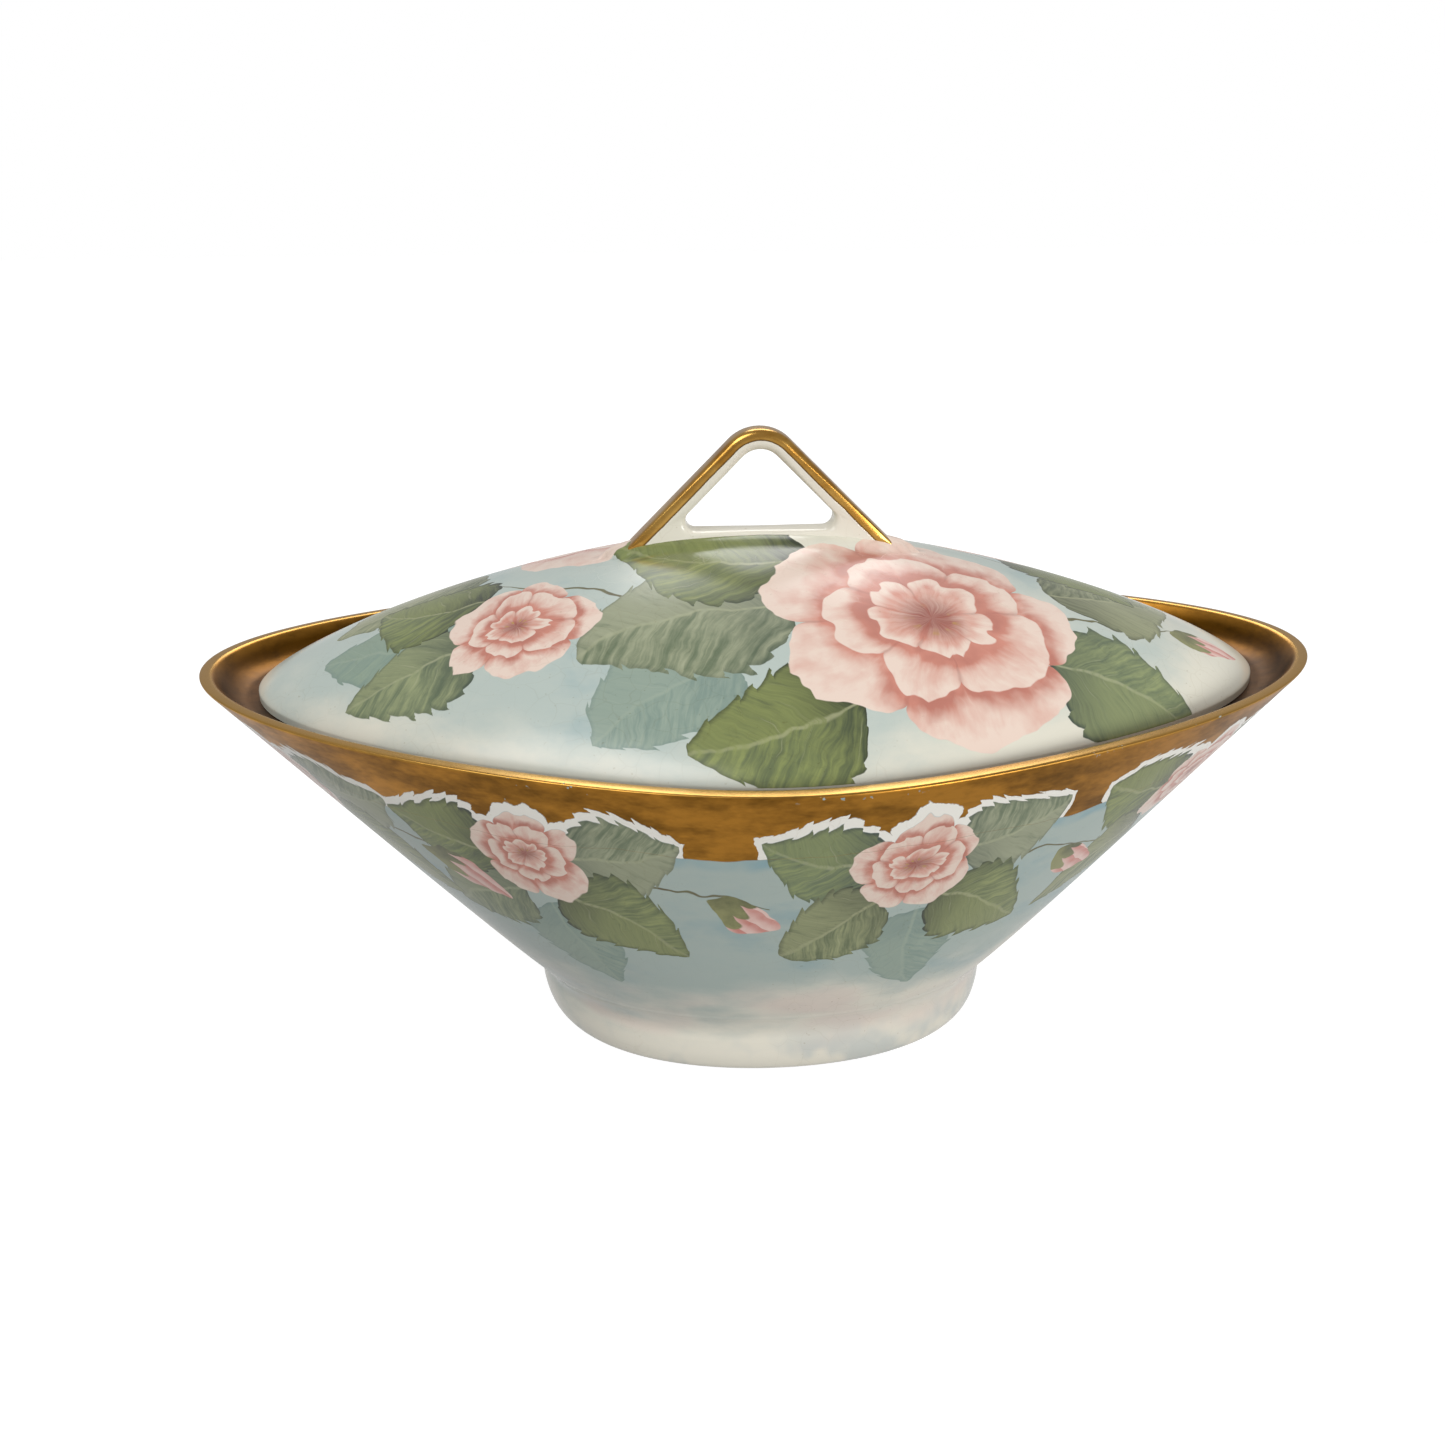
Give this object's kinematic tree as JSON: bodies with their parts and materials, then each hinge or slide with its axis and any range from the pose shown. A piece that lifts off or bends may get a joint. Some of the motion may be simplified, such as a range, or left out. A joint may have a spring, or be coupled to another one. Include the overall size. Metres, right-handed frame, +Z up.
{
  "type": "covered porcelain dish",
  "caption": "Hand-decorated porcelain trinket dish: boat-shaped bowl on an oval foot ring, with a domed lift-off lid seated inside a flared gilded rim and a triangular loop handle.",
  "frame": {"origin": "centre of the foot ring, on the surface the dish stands on", "axes": "+X along the length of the dish from tip to tip, +Z up, -Y towards the front"},
  "size_m": [0.2412, 0.1444, 0.1264],
  "materials": {
    "bowl_painted_glaze": "glossy overglaze painting in pale blue and green under a burnished gold rim band",
    "foot_lustre_glaze": "glossy cream glaze with a pearly lustre",
    "lid_painted_glaze": "glossy overglaze painting of pink blossoms and green leaves on a pale blue wash",
    "plain_glaze": "glossy clear glaze over white porcelain",
    "handle_gilt_glaze": "white glaze with burnished gold over the outer face and edges"
  },
  "bodies": {
    "base": {"bowl": "bowl_painted_glaze", "foot_ring": "foot_lustre_glaze"},
    "lid": {"lid": "lid_painted_glaze", "lid_locating_ring": "plain_glaze", "lid_handle": "handle_gilt_glaze"}
  },
  "joints": [
    {"name": "lid_lift", "type": "slide", "parent": "base", "child": "lid", "axis": [0, 0, 1], "range_m": [0, 0.1]}
  ]
}
